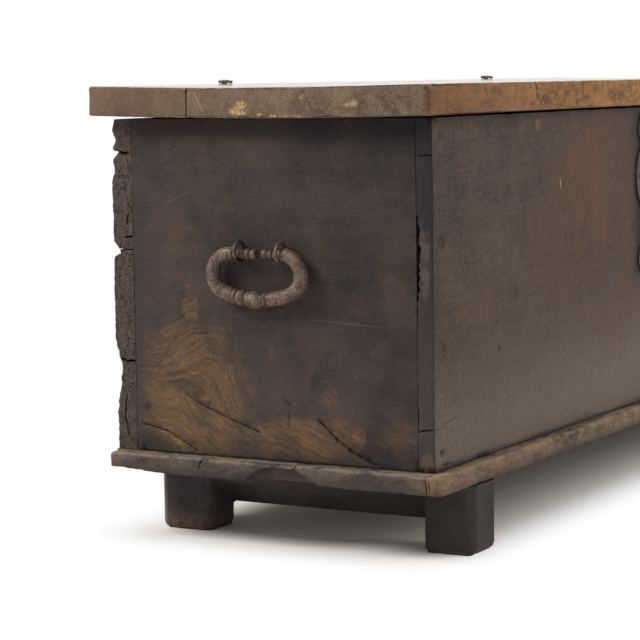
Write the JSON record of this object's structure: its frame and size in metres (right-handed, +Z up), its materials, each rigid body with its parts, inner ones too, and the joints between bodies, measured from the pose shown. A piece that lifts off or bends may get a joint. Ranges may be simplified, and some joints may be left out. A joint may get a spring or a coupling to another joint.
{
  "type": "plank trunk",
  "caption": "Low plank trunk on sledge feet with a hinged overhanging lid, forged drop handles and an inside lock",
  "frame": {"origin": "on the floor, under the centre of the trunk's bounding box", "axes": "+X along the trunk to its right end, -Y towards its front, +Z up"},
  "size_m": [1.456, 0.4858, 0.5753],
  "materials": {
    "wall_wood": "dark waxed, worn",
    "inner_wood": "dry, unfinished",
    "moulding_wood": "waxed, worn through at the arris",
    "foot_wood": "dark waxed, worn",
    "lid_wood": "waxed, worn",
    "peg_wood": "dark waxed",
    "rusty_iron": "forged, fine rust",
    "dark_iron": "forged, blackened"
  },
  "bodies": {
    "carcass": {"front_board": "wall_wood", "back_board_upper": "wall_wood", "back_board_lower": "wall_wood", "end_board_left": "wall_wood", "end_board_right": "wall_wood", "bottom_plank_front": "inner_wood", "bottom_plank_middle": "inner_wood", "bottom_plank_rear": "inner_wood", "base_moulding_front": "moulding_wood", "base_moulding_left": "moulding_wood", "base_moulding_right": "moulding_wood", "foot_beam_left": "foot_wood", "foot_beam_right": "foot_wood", "front_pegs": "peg_wood", "back_pegs": "peg_wood", "foot_pegs": "peg_wood", "handle_eye_pins_left": "rusty_iron", "handle_eye_pins_right": "rusty_iron", "back_hinge_eye_left": "rusty_iron", "back_hinge_eye_right": "rusty_iron", "lock_plate": "dark_iron", "lock_case": "dark_iron", "lock_spring": "dark_iron", "moulding_nails": "dark_iron", "bottom_nails": "dark_iron", "lock_plate_nails": "dark_iron", "lock_case_nails": "dark_iron"},
    "lid": {"lid_plank_front": "lid_wood", "lid_plank_rear": "lid_wood", "lid_batten_left": "inner_wood", "lid_batten_right": "inner_wood", "batten_nails": "dark_iron", "lid_hinge_eye_left": "rusty_iron", "lid_hinge_eye_right": "rusty_iron", "lid_staple": "dark_iron", "staple_nails": "dark_iron"},
    "handle_left": {"handle_left": "rusty_iron"},
    "handle_right": {"handle_right": "rusty_iron"},
    "lock_bolt": {"lock_bolt": "dark_iron"}
  },
  "joints": [
    {"name": "lid_hinge", "type": "hinge", "parent": "carcass", "child": "lid", "pos_m": [0, 0.23365, 0.52459], "axis": [-1, 0, 0], "range_deg": [0, 105]},
    {"name": "handle_left_swing", "type": "hinge", "parent": "carcass", "child": "handle_left", "pos_m": [-0.71145, 0.00465, 0.3646], "axis": [0, 1, 0], "range_deg": [-4, 180]},
    {"name": "handle_right_swing", "type": "hinge", "parent": "carcass", "child": "handle_right", "pos_m": [0.71145, 0.00465, 0.3646], "axis": [0, -1, 0], "range_deg": [-4, 180]},
    {"name": "lock_bolt_slide", "type": "slide", "parent": "carcass", "child": "lock_bolt", "axis": [-1, 0, 0], "range_m": [0, 0.012]}
  ]
}
